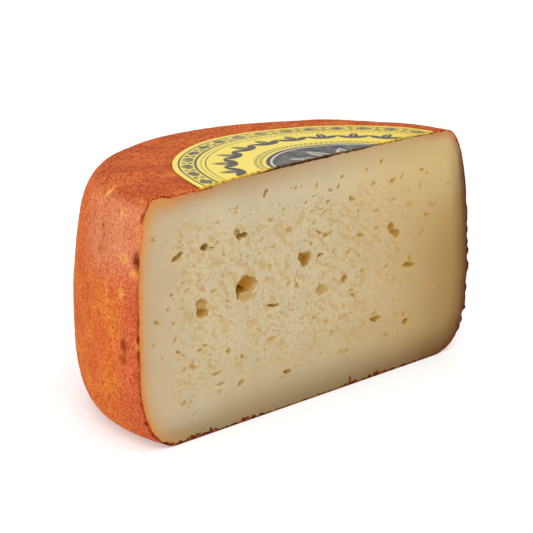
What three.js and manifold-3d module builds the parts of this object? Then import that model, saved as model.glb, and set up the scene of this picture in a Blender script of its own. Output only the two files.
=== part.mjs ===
import * as THREE from 'three';
import { mergeVertices } from 'three/addons/utils/BufferGeometryUtils.js';
import Module from 'manifold-3d';

// Half of a small pressed goat cheese with a paprika rind and a round paper label, cut straight
// through the middle of the wheel. Millimetres, +Z up. The cut face looks along -Y, and the
// wheel's axis lies in the cut, so the label's own centre, off to one side, is in front of it.

const wheelRadius = 87.5;
const wheelHeight = 90;
const bellyHeight = 28;

// How far each rounded edge reaches in from the side, seen at the cut's left end, at its right
// end and at the back, and the power of its curve: 2 is a quarter ellipse, more is squarer.
const topReach = { left: 12, right: 17, back: 23 };
const topPower = { left: 3.9, right: 2.5, back: 1.9 };
const baseReach = { left: 17, right: 22, back: 8 };
const basePower = { left: 1.9, right: 2.5, back: 2.3 };

// The pressed rind swells gently all round, and it is craggy low down at the right end. Waves
// are counted once round the wheel, and the crags fade out above, below and behind their middle.
const swell = { height: 0.5, waves: 3, lean: 0.05, upWaves: 0.06 };
const crags = { height: 0.7, waves: 31, lean: 0.9, upWaves: 0.55, middle: 16, upReach: 14, backReach: 0.7 };

const labelRadius = 64;
const labelCentre = { x: 4.5, y: -12.5 };
const labelThickness = 0.3;
const labelGap = 0.3;

const sidesRound = 144;
const topSteps = 12;
const baseSteps = 8;

// The larger eyes in the cut: place along it, height, width, height and depth of the hole, and
// its tilt in degrees. Neighbours that overlap run together into one ragged hole.
const eyes = [
  { x: -35.6, z: 51.0, wide: 10.6, high: 6.8, deep: 7.0, tilt: 0 },
  { x: -37.2, z: 47.4, wide: 6.4, high: 6.4, deep: 6.4, tilt: 0 },
  { x: -5.6, z: 55.2, wide: 8.6, high: 4.8, deep: 4.2, tilt: -6 },
  { x: -6.4, z: 53.0, wide: 5.0, high: 4.2, deep: 4.6, tilt: 0 },
  { x: -41.0, z: 71.0, wide: 3.6, high: 3.2, deep: 2.4, tilt: -40 },
  { x: -37.5, z: 68.8, wide: 6.6, high: 2.9, deep: 3.4, tilt: 4 },
  { x: -56.2, z: 68.0, wide: 5.6, high: 3.3, deep: 3.4, tilt: -10 },
  { x: -68.7, z: 67.3, wide: 4.9, high: 2.2, deep: 2.4, tilt: 25 },
  { x: -58.2, z: 48.4, wide: 5.6, high: 3.4, deep: 2.4, tilt: -8 },
  { x: -57.2, z: 45.0, wide: 6.6, high: 4.0, deep: 3.6, tilt: -10 },
  { x: 3.4, z: 41.0, wide: 7.4, high: 4.2, deep: 3.6, tilt: -14 },
  { x: 41.2, z: 57.0, wide: 3.8, high: 3.2, deep: 3.0, tilt: -30 },
  { x: 43.4, z: 54.2, wide: 4.6, high: 3.4, deep: 2.8, tilt: -25 },
  { x: -22.4, z: 39.9, wide: 5.6, high: 1.9, deep: 2.4, tilt: -14 },
  { x: 52.0, z: 40.4, wide: 6.0, high: 2.8, deep: 2.6, tilt: -8 },
  { x: 33.0, z: 22.8, wide: 5.4, high: 2.5, deep: 2.4, tilt: -4 },
  { x: 50.6, z: 17.8, wide: 3.3, high: 2.7, deep: 2.4, tilt: 0 },
  { x: -80.0, z: 75.4, wide: 2.6, high: 2.0, deep: 1.6, tilt: -35 },
  { x: -26.2, z: 81.7, wide: 3.1, high: 2.1, deep: 2.2, tilt: 50 },
  { x: -14.3, z: 66.3, wide: 3.9, high: 3.0, deep: 2.2, tilt: -15 },
  { x: 2.0, z: 53.8, wide: 3.2, high: 1.9, deep: 2.0, tilt: 25 },
  { x: 5.2, z: 61.4, wide: 6.6, high: 1.9, deep: 1.8, tilt: -14 },
  { x: 19.0, z: 71.7, wide: 3.5, high: 2.3, deep: 1.8, tilt: -35 },
  { x: 15.5, z: 42.0, wide: 3.6, high: 3.0, deep: 2.2, tilt: 0 },
  { x: 24.0, z: 57.0, wide: 4.4, high: 2.3, deep: 1.8, tilt: -25 },
  { x: -23.0, z: 27.5, wide: 3.7, high: 1.7, deep: 1.8, tilt: 0 },
  { x: -15.0, z: 13.5, wide: 4.1, high: 1.9, deep: 2.0, tilt: -20 },
  { x: -50.7, z: 21.4, wide: 4.0, high: 1.9, deep: 1.8, tilt: 6 },
  { x: -62.5, z: 26.5, wide: 3.9, high: 2.7, deep: 1.8, tilt: -25 },
  { x: 64.6, z: 61.2, wide: 4.6, high: 1.6, deep: 1.6, tilt: -25 },
];
const eyeSetback = 0.3;
const eyeLumpiness = 0.14;
const bigEyeWidth = 7;

const wasm = await Module();
wasm.setup();

// A closed three.js geometry as a solid: only positions are kept, shared points become one,
// and the empty triangles where a turned profile meets its axis are dropped.
function solidOf(geometry) {
  const bare = geometry.clone();
  bare.deleteAttribute('normal');
  bare.deleteAttribute('uv');
  const merged = mergeVertices(bare, 1e-4);
  const corners = [];
  for (let i = 0; i < merged.index.count; i += 3) {
    const [a, b, c] = [0, 1, 2].map((k) => merged.index.getX(i + k));
    if (a !== b && b !== c && c !== a) corners.push(a, b, c);
  }
  return new wasm.Manifold(new wasm.Mesh({
    numProp: 3,
    vertProperties: new Float32Array(merged.attributes.position.array),
    triVerts: new Uint32Array(corners),
  }));
}

function geometryOf(solid) {
  const { vertProperties, triVerts, numProp } = solid.getMesh();
  const points = [];
  for (let i = 0; i < vertProperties.length; i += numProp) {
    points.push(vertProperties[i], vertProperties[i + 1], vertProperties[i + 2]);
  }
  const geometry = new THREE.BufferGeometry();
  geometry.setAttribute('position', new THREE.Float32BufferAttribute(points, 3));
  geometry.setIndex(Array.from(triVerts));
  geometry.computeVertexNormals();
  return geometry;
}

// A size that runs smoothly from the cut's right end over the back to its left end.
function around(size, angle) {
  const middle = (size.left + size.right) / 2;
  return middle + (size.right - size.left) / 2 * Math.cos(angle) + (size.back - middle) * Math.sin(angle);
}

// One point of the rind. Both rounded edges are superellipses that meet at the belly, and a
// step with no spread lies on the wheel's axis.
function rindPoint(angle, step) {
  const { lower, edge } = step;
  const reach = around(lower ? baseReach : topReach, angle);
  const power = 2 / around(lower ? basePower : topPower, angle);
  const outward = Math.cos(edge) ** power;
  const upward = Math.sin(edge) ** power;
  const radius = (wheelRadius - reach * (1 - outward)) * step.spread;
  const height = lower ? bellyHeight * (1 - upward) : bellyHeight + (wheelHeight - bellyHeight) * upward;
  return { radius: radius + relief(angle, height) * outward * step.spread, height };
}

// How far the rind lies inside its even outline. A wave runs from -1 to 1, so it is moved down
// by 1 and halved: nothing stands out past the wheel's own size.
function relief(angle, height) {
  const slow = Math.sin(swell.waves * angle + swell.lean * height) * Math.sin(swell.upWaves * height);
  const short = Math.sin(crags.waves * angle + crags.lean * height) * Math.sin(crags.upWaves * height);
  const fade = Math.exp(-(((height - crags.middle) / crags.upReach) ** 2) - (angle / crags.backReach) ** 2);
  return swell.height * (slow - 1) / 2 + crags.height * fade * (short - 1) / 2;
}

// The steps of a section, from the middle of the base over the side to the middle of the top.
function sectionSteps() {
  const quarter = Math.PI / 2;
  const steps = [{ lower: true, edge: quarter, spread: 0 }];
  for (let i = baseSteps; i >= 0; i--) {
    steps.push({ lower: true, edge: i / baseSteps * quarter, spread: 1 });
  }
  for (let i = 1; i <= topSteps; i++) {
    steps.push({ lower: false, edge: i / topSteps * quarter, spread: 1 });
  }
  steps.push({ lower: false, edge: quarter, spread: 0 });
  return steps;
}

// The whole wheel is a turned profile whose points are then moved to their uneven places.
function wheel() {
  const steps = sectionSteps();
  const profile = steps.map((step) => {
    const { radius, height } = rindPoint(Math.PI / 2, step);
    return new THREE.Vector2(radius, height);
  });
  const geometry = new THREE.LatheGeometry(profile, sidesRound);
  geometry.rotateX(Math.PI / 2);
  const places = geometry.attributes.position;
  for (let i = 0; i < places.count; i++) {
    const turn = Math.floor(i / steps.length) % sidesRound;
    const angle = turn * 2 * Math.PI / sidesRound - Math.PI / 2;
    const { radius, height } = rindPoint(angle, steps[i % steps.length]);
    places.setXYZ(i, radius * Math.cos(angle), radius * Math.sin(angle), height);
  }
  return solidOf(geometry);
}

// Everything in front of the cut, as a block to take away.
function frontHalf() {
  const block = new THREE.BoxGeometry(3 * wheelRadius, 2 * wheelRadius, 3 * wheelHeight);
  block.translate(0, -wheelRadius, 0);
  return solidOf(block);
}

// One eye: a lumpy ball pressed out to its own width, height and depth, no two lumpy alike.
function eyeHole(eye) {
  const ball = new THREE.IcosahedronGeometry(1, eye.wide > bigEyeWidth ? 3 : 2);
  const places = ball.attributes.position;
  const point = new THREE.Vector3();
  for (let i = 0; i < places.count; i++) {
    point.fromBufferAttribute(places, i);
    const lump = Math.sin(3.1 * point.x + eye.x) * Math.sin(2.7 * point.z + eye.z) * Math.cos(2.3 * point.y);
    point.multiplyScalar(1 + eyeLumpiness * lump);
    places.setXYZ(i, point.x, point.y, point.z);
  }
  ball.scale(eye.wide / 2, eye.deep, eye.high / 2);
  ball.rotateY(-THREE.MathUtils.degToRad(eye.tilt));
  ball.translate(eye.x, eyeSetback, eye.z);
  return solidOf(ball);
}

function cheeseGeometry() {
  let half = wheel().subtract(frontHalf());
  for (const eye of eyes) half = half.subtract(eyeHole(eye));
  return geometryOf(half);
}

// The label is a round sheet that was cut through together with the wheel.
function labelGeometry() {
  const leftEnd = Math.asin(-labelCentre.y / labelRadius);
  const outline = new THREE.Shape();
  outline.absarc(labelCentre.x, labelCentre.y, labelRadius, leftEnd, Math.PI - leftEnd, false);
  outline.closePath();
  const sheet = new THREE.ExtrudeGeometry(outline, {
    depth: labelThickness,
    bevelEnabled: false,
    curveSegments: 48,
  });
  sheet.translate(0, 0, wheelHeight + labelGap);
  return geometryOf(solidOf(sheet));
}

const cheese = new THREE.Mesh(
  cheeseGeometry(),
  new THREE.MeshStandardMaterial({ color: 0xc9602f, roughness: 0.75, metalness: 0 }),
);
cheese.name = 'cheese_half';

const label = new THREE.Mesh(
  labelGeometry(),
  new THREE.MeshStandardMaterial({ color: 0xf0dc55, roughness: 0.5, metalness: 0 }),
);
label.name = 'paper_label';

// The origin is the middle of the base of the whole half.
const half = new THREE.Group();
half.add(cheese, label);
const box = new THREE.Box3().setFromObject(half);
half.position.set(-(box.min.x + box.max.x) / 2, -(box.min.y + box.max.y) / 2, -box.min.z);

const part = new THREE.Group();
part.add(half);
part.updateMatrixWorld(true);

export default part;
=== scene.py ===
import math

import bpy
import numpy as np
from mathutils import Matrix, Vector, geometry, kdtree, noise


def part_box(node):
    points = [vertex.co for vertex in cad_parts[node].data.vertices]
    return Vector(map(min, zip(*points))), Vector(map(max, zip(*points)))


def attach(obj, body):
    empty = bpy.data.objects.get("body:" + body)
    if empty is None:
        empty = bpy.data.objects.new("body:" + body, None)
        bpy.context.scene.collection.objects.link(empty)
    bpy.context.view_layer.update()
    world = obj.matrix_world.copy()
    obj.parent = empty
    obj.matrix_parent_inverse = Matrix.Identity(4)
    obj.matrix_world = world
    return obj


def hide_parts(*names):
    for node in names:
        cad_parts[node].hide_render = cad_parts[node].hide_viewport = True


# Half of a small pressed goat cheese, cut through the middle of the wheel. Shapes are worked out
# in millimetres about the wheel's axis, with +X along the cut, +Y into the cheese and +Z up.

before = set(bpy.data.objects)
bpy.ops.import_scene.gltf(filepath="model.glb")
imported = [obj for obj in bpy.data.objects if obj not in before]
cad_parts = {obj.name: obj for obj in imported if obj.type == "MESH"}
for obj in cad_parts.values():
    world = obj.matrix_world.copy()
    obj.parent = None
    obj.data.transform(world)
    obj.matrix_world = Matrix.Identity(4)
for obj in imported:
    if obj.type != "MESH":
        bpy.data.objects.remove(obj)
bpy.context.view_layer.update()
cheese_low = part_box("cheese_half")[0]
label_low, label_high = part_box("paper_label")

# The paste: the pressed curd inside, ivory to beige and slightly moist.
# The knife laid it open through the wheel's axis. Small gas eyes and mechanical openings are
# pressed into the cut surface; the curd there is crumbly, and smooth and dense near the rind.

# The wheel's even form: the mould leaves a straight wall and two rounded edges, which are uneven
# round the wheel. Each edge is part of a superellipse, as in the solid model.
MM = 0.001
WHEEL_RADIUS = 87.5
WHEEL_HEIGHT = 90.0
BELLY_HEIGHT = 28.0
TOP_REACH = (12.0, 17.0, 23.0)
TOP_POWER = (3.9, 2.5, 1.9)
BASE_REACH = (17.0, 22.0, 8.0)
BASE_POWER = (1.9, 2.5, 2.3)
SECTION_ROWS = 156
SECTION_SAMPLES = 240
LABEL_CENTRE = (4.5, -12.5)
LABEL_RADIUS = 64.0
LABEL_AXIS_X = (label_low.x + label_high.x) / 2 - LABEL_CENTRE[0] * MM
WHEEL_AXIS = np.array([LABEL_AXIS_X, cheese_low.y, 0.0])


def around(size, angle):
    """A size given at the cut's left end, its right end and the back, for any angle round the wheel."""
    left, right, back = size
    middle = (left + right) / 2
    return middle + (right - left) / 2 * np.cos(angle) + (back - middle) * np.sin(angle)


def smooth(value, low, high):
    """0 below low, 1 above high and a soft rise between."""
    part = np.clip((value - low) / (high - low), 0, 1)
    return part * part * (3 - 2 * part)


def ripple(points, wavelength, seed):
    """Smooth noise from about -1 to 1 at points given in millimetres."""
    scaled = points / wavelength + seed * 17.31
    return np.array([noise.noise(Vector(place)) for place in scaled])


def swell_and_crags(angle, height, outward):
    """The slow swell of the pressed wall, and the broken low edge at the right end."""
    slow = np.sin(3 * angle + 0.05 * height) * np.sin(0.06 * height)
    fade = np.exp(-((height - 16) / 14) ** 2 - (angle / 0.7) ** 2)
    torn = np.sin(31 * angle + 0.9 * height) * np.sin(0.55 * height)
    return outward * (0.25 * (slow - 1) + 0.35 * fade * (torn - 1))


def section(angle, inset=0.0):
    """The wheel's outline at one angle as (radius, height, outward radius, outward height) rows."""
    step = (1 - np.cos(math.pi * np.linspace(0, 1, SECTION_SAMPLES))) / 2 * math.pi / 2
    low_power = 2 / around(BASE_POWER, angle)
    top_power = 2 / around(TOP_POWER, angle)
    low_out = np.cos(step[::-1]) ** low_power
    low_up = np.sin(step[::-1]) ** low_power
    top_out = np.cos(step[1:]) ** top_power
    top_up = np.sin(step[1:]) ** top_power
    low_reach = around(BASE_REACH, angle) * (1 - low_out)
    top_reach = around(TOP_REACH, angle) * (1 - top_out)
    reach = np.concatenate((low_reach, top_reach))
    above = (WHEEL_HEIGHT - BELLY_HEIGHT) * top_up
    height = np.concatenate((BELLY_HEIGHT * (1 - low_up), BELLY_HEIGHT + above))
    outward = np.concatenate((low_out, top_out))
    radius = WHEEL_RADIUS - reach + swell_and_crags(angle, height, outward)
    travel = np.concatenate(([0], np.cumsum(np.hypot(np.diff(radius), np.diff(height)))))
    even = np.linspace(0, travel[-1], SECTION_ROWS)
    radius = np.interp(even, travel, radius)
    height = np.interp(even, travel, height)
    out_radius = np.gradient(height, even)
    out_height = -np.gradient(radius, even)
    size = np.hypot(out_radius, out_height)
    out_radius = out_radius / size
    out_height = out_height / size
    return radius - inset * out_radius, height - inset * out_height, out_radius, out_height


def wall(angles, inset=0.0):
    """Points and outward directions of the wall, one column for each angle and SECTION_ROWS high."""
    points = []
    outward = []
    for angle in angles:
        radius, height, out_radius, out_height = section(angle, inset)
        points.append(np.stack((radius * math.cos(angle), radius * math.sin(angle), height), 1))
        outward.append(np.stack((out_radius * math.cos(angle), out_radius * math.sin(angle), out_height), 1))
    return np.array(points), np.array(outward)


CHORD_POINTS = 400


def chord(start, end):
    """Points of the straight cut through the top or the base, without its two ends."""
    part = np.linspace(0, 1, CHORD_POINTS + 2)[1:-1, None]
    return start + (end - start) * part


def cut_outline(columns, outward):
    """The outline of the cut seen from the front, counter-clockwise from the base's right end."""
    right = columns[0]
    left = columns[-1]
    over = chord(right[-1], left[-1])
    under = chord(left[0], right[0])
    up = np.tile([0.0, 0.0, 1.0], (CHORD_POINTS, 1))
    points = np.concatenate((right, over, left[::-1], under))
    directions = np.concatenate((outward[0], up, outward[-1][::-1], -up))
    return points, directions


def sag(points):
    """How far the knife dragged the top edge down, at the label's left end and a little at its right."""
    left = smooth(points[:, 0], -76, -71) * smooth(-points[:, 0], 38, 62)
    right = smooth(points[:, 0], 52, 64) * smooth(-points[:, 0], -80, -70)
    return (0.85 * left + 0.5 * right) * np.exp(-(points[:, 1] / 9) ** 2) * (points[:, 2] > 80)


PASTE_INSET = 2.0
INNER_COLUMNS = 28
RIM_WIDTHS = {"left": 0.42, "right": 1.0, "top": 0.5, "base": 0.6}
# Browned crumbs of rind along the cut's lower edge: place, half width and height.
BASE_CRUSTS = [
    (-74, 3.4, 1.3), (-68.5, 2.6, 1.2), (-63.5, 3.2, 1.7), (-60, 2, 1.9), (-56.6, 2.6, 1.4),
    (-53.8, 0.9, 3.2), (-51.6, 2.3, 1.3), (-46.5, 3.4, 0.8), (-42, 2.2, 0.9), (-36.6, 3.2, 1.7),
    (-32.4, 1.8, 1.3), (-28.5, 2.2, 1.1), (-24.8, 1.8, 1), (-19.5, 2.6, 0.8), (-13.5, 2.2, 0.7),
    (-6, 3, 0.6), (3, 3, 0.6), (11, 2.6, 0.7), (16.6, 1.6, 1.1), (18.9, 0.9, 3), (21.6, 2.4, 1.5),
    (26, 2.2, 1), (30.5, 1.6, 1.2), (34, 1.9, 2), (37.8, 2.4, 1.6), (43, 3.2, 1.1), (49, 3, 0.9),
    (55, 4, 0.9), (62, 4, 0.9),
]


def rim_width(outline, directions):
    """How wide the cut rind shows as a coloured line round the paste."""
    flat = np.abs(directions[:, 2]) ** 2
    upper = outline[:, 2] > WHEEL_HEIGHT / 2
    side = np.where(outline[:, 0] < 0, RIM_WIDTHS["left"], RIM_WIDTHS["right"])
    top = RIM_WIDTHS["top"] + 0.45 * smooth(-outline[:, 0], 50, 53)
    width = side * (1 - flat) + flat * np.where(upper, top, RIM_WIDTHS["base"])
    width = width * (1 + 0.4 * ripple(outline, 3.1, 4) + 0.45 * ripple(outline, 1.5, 5))
    grains = 1 + 0.5 * ripple(outline, 1.9, 6) + 0.5 * ripple(outline, 1.1, 7)
    for middle, half, high in BASE_CRUSTS:
        bump = np.clip(1 - ((outline[:, 0] - middle) / half) ** 2, 0, 1) ** 0.6
        width = np.where(upper, width, np.maximum(width, high * bump * grains))
    return np.maximum(width, 0.15)


right_column, right_out = wall([0.0])
left_column, left_out = wall([math.pi])
ends = np.concatenate((right_column, left_column))
ends[:, :, 1] = 0.0
cut_loop, cut_out = cut_outline(ends, np.concatenate((right_out, left_out)))
cut_loop[:, 2] -= sag(cut_loop)
rim = rim_width(cut_loop, cut_out)
paste_loop = cut_loop - cut_out * rim[:, None]
paste_loop[:, 1] = 0.0

# Eyes that are large enough to tell apart: place along the cut, height, width, height and depth of
# the hole, and its tilt in degrees, rising to the right where it is positive.
EYES = [
    (-68.7, 67.3, 5.2, 2.2, 2.2, 25), (-80, 75.4, 2.6, 2, 1.1, -35), (-26.2, 81.7, 3.3, 1.9, 1.7, 52),
    (-14.3, 66.3, 3.9, 3, 1.3, -15), (2, 53.8, 3.2, 1.9, 1.7, 25), (1.6, 62.4, 3.4, 1.6, 1.2, -40),
    (5.2, 60.7, 3.4, 1.8, 1.4, 4), (7.8, 61.2, 2.2, 1.5, 1, 30), (19, 71.7, 3.5, 2.2, 1.4, -35),
    (15.5, 42, 3.6, 3, 1.9, 0), (25.2, 43, 2, 1.8, 0.9, 0), (24, 57, 4.4, 2.3, 1.2, -25),
    (41.2, 57, 3.4, 3.2, 1.9, -40), (43.6, 54.2, 4.6, 3.2, 2, -35), (-22.4, 40, 5.6, 1.9, 2.2, -14),
    (52, 40.2, 6, 2.5, 2.2, -8), (52.5, 42.6, 2.6, 2.4, 1, 20), (33, 22.7, 5.4, 2.3, 2, -4),
    (32.5, 25, 2.6, 2, 0.9, 60), (50.6, 17.8, 3.2, 2.6, 2, 0), (49.4, 20.9, 3, 2.2, 0.7, -30),
    (-23, 27.5, 3.7, 1.7, 1.3, 0), (-15, 13.5, 4.1, 1.9, 1.9, -20), (-17.3, 12, 1.6, 1.2, 0.7, 0),
    (14, 14.2, 3.2, 2, 0.6, -10), (16.9, 14, 2.8, 2.2, 0.6, 30), (-50.8, 21.4, 4.2, 1.5, 1.2, 10),
    (-48.9, 17.2, 3.5, 1.3, 1.1, -12), (-49.3, 14.4, 2.9, 2.4, 0.6, 0), (-38.8, 15, 2, 2.6, 1.7, -40),
    (-61.8, 9, 1.8, 1.3, 0.6, 60), (-62.5, 26.5, 4, 2.4, 1, -25), (-45, 28.3, 2.8, 2, 1.4, -30),
    (-38, 24.3, 2.4, 1.4, 1.2, -45), (-33.5, 31.8, 3.2, 1.1, 0.6, 0), (-58.7, 31.7, 3, 1.5, 1.1, 0),
    (-70.4, 38, 3.2, 1.3, 0.9, 80), (-69, 33.5, 2.9, 1.4, 1.4, -50), (-66.6, 31.9, 2.4, 1.2, 0.8, -25),
    (-64.7, 54.4, 2.8, 1.2, 0.9, 12), (-71.8, 54.5, 1.5, 1.4, 1, 0), (-79, 46.3, 2.4, 1.3, 1.2, -35),
    (-77.8, 45.4, 1.4, 0.9, 0.6, -20), (-63.5, 44.7, 2.4, 1.6, 0.9, 20), (-71.3, 44, 1.8, 1.6, 0.8, 0),
    (-73.5, 49.5, 2, 1.3, 0.9, -60), (-67.5, 48.8, 2.4, 0.8, 0.6, 0), (-52, 51.7, 3.2, 1.3, 0.9, 10),
    (-57, 53.5, 2.8, 1.7, 0.7, -60), (-58.5, 57, 2.6, 1, 0.6, 10), (-47.5, 56, 2, 1.7, 0.7, 0),
    (-44.5, 56.3, 2.6, 1, 0.7, 15), (-47, 63.8, 3.2, 1.9, 0.7, -40), (-51, 61, 3, 1, 0.6, 0),
    (-49.9, 75.8, 1.4, 1, 0.6, 0), (-44.1, 79, 1.1, 0.8, 0.6, 30), (-42.4, 79.2, 1, 0.7, 0.6, 30),
    (-40.4, 79.4, 1.2, 0.9, 0.8, 50), (-28.2, 65.9, 1.8, 1, 0.6, 20), (-23.5, 71.7, 2.8, 1.1, 0.9, 10),
    (-19.2, 76.4, 1.1, 0.8, 0.6, 60), (-13.3, 81.5, 0.9, 0.7, 0.6, 20), (-10.9, 81.2, 1.7, 1.3, 0.9, 60),
    (-8.2, 81.6, 0.9, 0.7, 0.5, 0), (-5.2, 75, 2.3, 1, 0.9, 22), (-1.2, 76.5, 2, 0.9, 0.6, 10),
    (-2.5, 71, 2.6, 1.3, 0.6, -20), (4.5, 69.6, 2.9, 1.1, 0.8, 25), (-1.2, 66.2, 2, 1.5, 0.8, 0),
    (-9.5, 67.7, 2, 1.5, 0.6, 20), (-2.6, 59, 1.9, 1.4, 0.9, -60), (-23, 62, 3, 1, 0.6, 0),
    (0.2, 79.8, 2.3, 1.3, 1.2, 62), (7.3, 77.2, 2.7, 1.6, 0.8, -20), (11.7, 77.7, 2.3, 1.5, 1.2, 72),
    (13.6, 81, 1.9, 1.5, 1.1, 80), (35, 83, 1.9, 1.5, 1.1, 70), (27.2, 81.2, 1.6, 1.3, 0.9, 70),
    (31, 75.4, 2, 1.6, 0.9, 90), (42, 74.7, 3.4, 1.3, 1.2, 25), (47.2, 75.3, 2.6, 1.4, 0.7, 65),
    (58.7, 76, 2.4, 1.3, 0.8, -10), (61.5, 74.3, 1.6, 1.3, 0.6, 0), (17.5, 52.2, 2.2, 1.5, 1.1, 55),
    (9.5, 53.7, 3.5, 1.4, 0.8, 40), (-24, 54.7, 3, 2, 0.9, -70), (-14.2, 47, 2.6, 1.5, 1.2, 30),
    (-10.3, 44.8, 3, 2, 1.2, -50), (20.5, 34.7, 3.2, 1.9, 1.2, -30), (-0.8, 30.6, 2.5, 1.6, 1.1, 0),
    (5.5, 28, 3.2, 1.6, 0.6, -20), (23.5, 49.2, 2.1, 1.1, 0.8, 10), (74.5, 68.3, 2.7, 1.2, 0.6, 20),
    (64.6, 61.2, 4.6, 1.6, 0.7, -25), (62, 58.1, 3, 1.5, 1, 0), (71, 53.7, 2.2, 1.2, 0.5, 60),
    (58.5, 51, 4.2, 1.7, 0.8, 12), (45, 47.5, 2.9, 2, 0.6, -45), (40.5, 45.4, 2.5, 1.1, 0.6, 15),
    (39, 42, 2.7, 1.2, 0.9, 8), (33, 58, 3, 1.5, 0.8, 0), (32.8, 65, 2.4, 1.2, 0.8, 0),
    (42, 67.4, 3.4, 1.2, 0.6, 0), (51.5, 64, 3.4, 2.2, 0.4, 0), (51, 69.7, 2, 1, 0.5, 10),
    (57.5, 70.3, 3, 1.8, 0.4, 65), (39, 15, 2.2, 1.6, 1, -20), (62, 31, 2.6, 0.9, 0.6, 5),
    (67, 29.5, 4.2, 1.3, 0.6, -6), (43, 36, 2.8, 1.9, 0.4, -70), (57, 43.5, 2.8, 1.4, 0.4, 0),
    (60, 40.3, 4, 1.2, 0.4, 8), (-80.7, 38.5, 3.4, 0.6, 0.6, -64), (-76.9, 33, 2.2, 0.5, 0.5, -60),
    (-9.7, 50.2, 3.2, 0.8, 0.7, 55), (-11.2, 47.2, 3.6, 0.8, 0.7, 88), (-52.5, 67.2, 3.6, 1.1, 1.2, -6),
    (-57, 65.2, 2.6, 1, 0.9, 78), (-60.3, 68.1, 1.4, 0.7, 0.6, 10), (-42, 65, 2.4, 0.6, 0.6, 40),
]

# The largest are ragged: the deepest point, the depth, and the outline round it.
RAGGED_EYES = [
    ((-36.2, 50.6), 3.1, [
        (-41.2, 50.1), (-40.2, 52.2), (-39.7, 53.3), (-38.5, 54.4), (-36.8, 54.8), (-34.8, 54.5),
        (-33.1, 53.8), (-30.8, 53.1), (-29.1, 52.2), (-28.8, 50.2), (-29.4, 48.8), (-30.8, 47.5),
        (-32.2, 46.9), (-34.6, 47.2), (-36.6, 48.2), (-38.6, 47.2), (-40.3, 48)]),
    ((-38.6, 49.2), 5.6, [
        (-41.4, 50.3), (-40.6, 51.8), (-39.2, 52.3), (-37.4, 51.7), (-35.2, 50.4), (-32.6, 48.9),
        (-33.8, 47.4), (-36.3, 48.2), (-38.2, 46.8), (-40.5, 45.4), (-40.8, 47.8)]),
    ((-36, 46), 1, [
        (-40.6, 46.5), (-38.6, 48.2), (-36.6, 49), (-34.6, 48.2), (-32.2, 46.9), (-31.1, 45.2),
        (-32, 44.1), (-34.8, 45), (-36.6, 44.3), (-38.6, 44), (-40.1, 45.3)]),
    ((-5.8, 52.4), 3.2, [
        (-10.3, 56.3), (-9.2, 57.4), (-6.8, 57.6), (-4.2, 57.1), (-2.5, 56.3), (-1.5, 54.2),
        (-3.4, 52.3), (-5.2, 50.9), (-6.8, 50.7), (-8.5, 52), (-8.3, 53.4), (-9.5, 54.8)]),
    ((-40.3, 70.4), 1.3, [
        (-42.5, 71.5), (-41.3, 72.4), (-39.6, 71.6), (-38.5, 69.7), (-38.6, 68.2), (-39.8, 67.6),
        (-41.3, 69)]),
    ((-38.4, 68.7), 2.8, [
        (-41, 69.2), (-39.6, 69.7), (-38.2, 69.5), (-36.8, 70.1), (-34.8, 69.1), (-35.1, 67.4),
        (-36.6, 67.9), (-37.8, 68), (-39.3, 66.8), (-40.3, 68)]),
    ((2.4, 40.3), 1.4, [
        (-0.9, 41), (0.6, 42.4), (1.6, 43.3), (4.4, 42.9), (6.1, 41.5), (7.3, 39.4),
        (5.8, 38.2), (3.7, 38.2), (1.5, 38.6), (-0.4, 39.6)]),
    ((-56.4, 68), 2.9, [
        (-58.7, 68.3), (-57.6, 69.3), (-56.2, 69.5), (-54.3, 68.8), (-53.8, 67.4), (-54.8, 66.7),
        (-56, 66.3), (-57.6, 66.9)]),
    ((-58, 47.6), 1.7, [
        (-61.8, 49.8), (-58.9, 50.1), (-55.1, 49.5), (-54.2, 48.3), (-55, 46.2), (-56, 44.4),
        (-58.4, 43.6), (-60.2, 45.2), (-60.6, 48)]),
    ((-58.2, 45), 3, [
        (-60.6, 44.8), (-60.2, 47.2), (-58.2, 48), (-55.6, 46.6), (-53.5, 44), (-56.3, 43),
        (-57.9, 42.6), (-59.5, 43.5)]),
]


BEARINGS = np.linspace(-math.pi, math.pi, 97)
WALL_SHARE = 0.86


class Eye:
    """A hole that is star-shaped round its deepest point. It knows how far out a point lies."""

    def __init__(self, middle, depth, reach, turn=1.45, cavity_shade=0.0):
        self.middle = np.array(middle)
        self.depth = depth
        self.reach = reach
        self.turn = turn
        self.cavity_shade = cavity_shade
        self.widest = reach.max()

    def hollow(self, share):
        """How deep the hole is there, as a part of its depth, and how far its wall is pushed out."""
        lip = (1 - share ** 2) ** 1.5
        if self.turn == 0:
            return lip, np.ones(len(share))
        turn = np.minimum(share / WALL_SHARE, 1) * self.turn
        down = (np.cos(turn) - math.cos(self.turn)) / (1 - math.cos(self.turn))
        push = np.sin(turn) / math.sin(self.turn) * WALL_SHARE / np.maximum(share, 1e-6)
        return 0.85 * down + 0.15 * lip, np.where(share < WALL_SHARE, push, 1)

    def share(self, flat):
        """0 at the deepest point and 1 on the rim."""
        away = flat - self.middle
        bearing = np.arctan2(away[:, 1], away[:, 0])
        return np.hypot(*away.T) / np.interp(bearing, BEARINGS, self.reach)

    def ring(self, share, count, shift):
        """Points all round at one share of the way to the rim."""
        bearing = -math.pi + 2 * math.pi * (np.arange(count) + shift) / count
        radius = share * np.interp(bearing, BEARINGS, self.reach)
        return self.middle + np.stack((radius * np.cos(bearing), radius * np.sin(bearing)), 1)


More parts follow.
